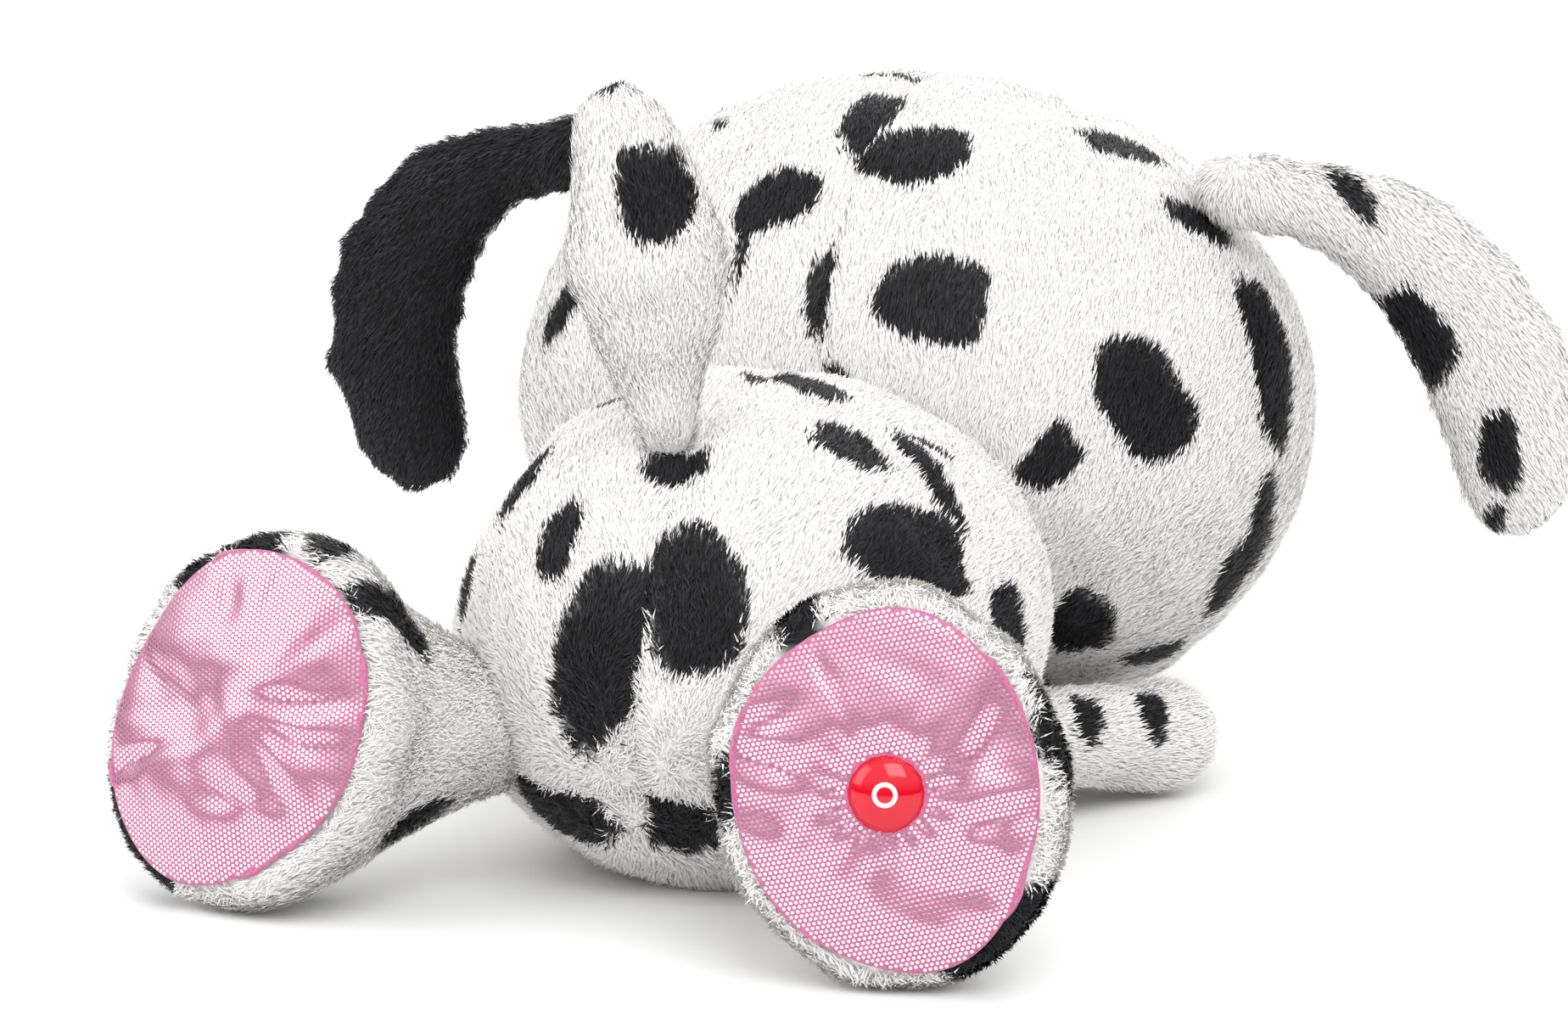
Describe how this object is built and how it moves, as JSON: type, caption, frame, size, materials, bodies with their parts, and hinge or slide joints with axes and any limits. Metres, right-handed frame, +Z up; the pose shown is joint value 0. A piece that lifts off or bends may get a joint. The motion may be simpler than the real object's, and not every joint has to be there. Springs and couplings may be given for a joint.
{
  "type": "plush dog",
  "caption": "Stuffed plush dog lying on its belly, with a big round head, floppy ears, upright tail, soft legs and padded pink soles.",
  "frame": {"origin": "middle of the flat belly patch, on the surface that the toy lies on", "axes": "+Z up, the face looks towards -Y, the toy's own left side is +X"},
  "size_m": [0.248, 0.2552, 0.1411],
  "materials": {
    "white_plush": "short-pile plush, white with black spots",
    "black_plush": "short-pile plush, black",
    "sole_fabric": "woven pink fabric with foil dots",
    "stuffing": "white polyester fibre fill",
    "bead_bag": "cotton bag of plastic beads",
    "gloss_black": "glossy moulded black",
    "gloss_red": "glossy moulded red",
    "washer_plastic": "moulded locking washer"
  },
  "bodies": {
    "torso": {"back_panel_left": "white_plush", "back_panel_right": "white_plush", "belly_panel": "white_plush", "torso_stuffing": "stuffing", "bead_bag": "bead_bag", "neck_stuffing": "stuffing"},
    "head": {"head_centre_panel": "white_plush", "head_side_panel_left": "white_plush", "head_side_panel_right": "white_plush", "head_stuffing": "stuffing", "muzzle_cover": "white_plush", "muzzle_stuffing": "stuffing", "nose": "gloss_black", "nose_washer": "washer_plastic", "eye_left": "gloss_black", "eye_right": "gloss_black", "eye_washers": "washer_plastic"},
    "ear_left": {"ear_left_outer": "black_plush", "ear_left_lining": "black_plush", "ear_left_padding": "stuffing"},
    "ear_right": {"ear_right_outer": "white_plush", "ear_right_lining": "white_plush", "ear_right_padding": "stuffing"},
    "tail": {"tail_cover": "white_plush", "tail_stuffing": "stuffing"},
    "rear_leg_left": {"rear_leg_left_cover": "white_plush", "rear_leg_left_stuffing": "stuffing", "sole_left": "sole_fabric"},
    "rear_leg_right": {"rear_leg_right_cover": "white_plush", "rear_leg_right_stuffing": "stuffing", "sole_right": "sole_fabric", "sole_button": "gloss_red", "button_washer": "washer_plastic"},
    "front_leg_left": {"front_leg_left_cover": "white_plush", "front_leg_left_stuffing": "stuffing"},
    "front_leg_right": {"front_leg_right_cover": "white_plush", "front_leg_right_stuffing": "stuffing"}
  },
  "joints": [
    {"name": "neck_nod", "type": "hinge", "parent": "torso", "child": "head", "pos_m": [0, -0.041, 0.05], "axis": [-1, 0, 0], "range_deg": [-3, 9], "stiffness_Nm_per_rad": 0.35},
    {"name": "ear_left_flap", "type": "hinge", "parent": "head", "child": "ear_left", "pos_m": [0.06029, -0.08398, 0.10823], "axis": [0, -1, 0], "range_deg": [-2, 50], "stiffness_Nm_per_rad": 0.012},
    {"name": "ear_right_flap", "type": "hinge", "parent": "head", "child": "ear_right", "pos_m": [-0.06029, -0.08398, 0.10823], "axis": [0, 1, 0], "range_deg": [-3, 50], "stiffness_Nm_per_rad": 0.012},
    {"name": "tail_wag", "type": "hinge", "parent": "torso", "child": "tail", "pos_m": [0.00451, 0.02954, 0.07784], "axis": [0, 1, 0], "range_deg": [-18, 18], "stiffness_Nm_per_rad": 0.03},
    {"name": "rear_leg_left_swing", "type": "hinge", "parent": "torso", "child": "rear_leg_left", "pos_m": [0.03808, 0.03819, 0.02687], "axis": [0, 0, -1], "range_deg": [-10, 15], "stiffness_Nm_per_rad": 0.12},
    {"name": "rear_leg_right_swing", "type": "hinge", "parent": "torso", "child": "rear_leg_right", "pos_m": [-0.03808, 0.03819, 0.02687], "axis": [0, 0, 1], "range_deg": [-6, 15], "stiffness_Nm_per_rad": 0.12},
    {"name": "front_leg_left_swing", "type": "hinge", "parent": "torso", "child": "front_leg_left", "pos_m": [0.04016, -0.02464, 0.0157], "axis": [0, 0, 1], "range_deg": [-4, 20], "stiffness_Nm_per_rad": 0.06},
    {"name": "front_leg_right_swing", "type": "hinge", "parent": "torso", "child": "front_leg_right", "pos_m": [-0.04016, -0.02464, 0.0157], "axis": [0, 0, -1], "range_deg": [-4, 20], "stiffness_Nm_per_rad": 0.06}
  ]
}
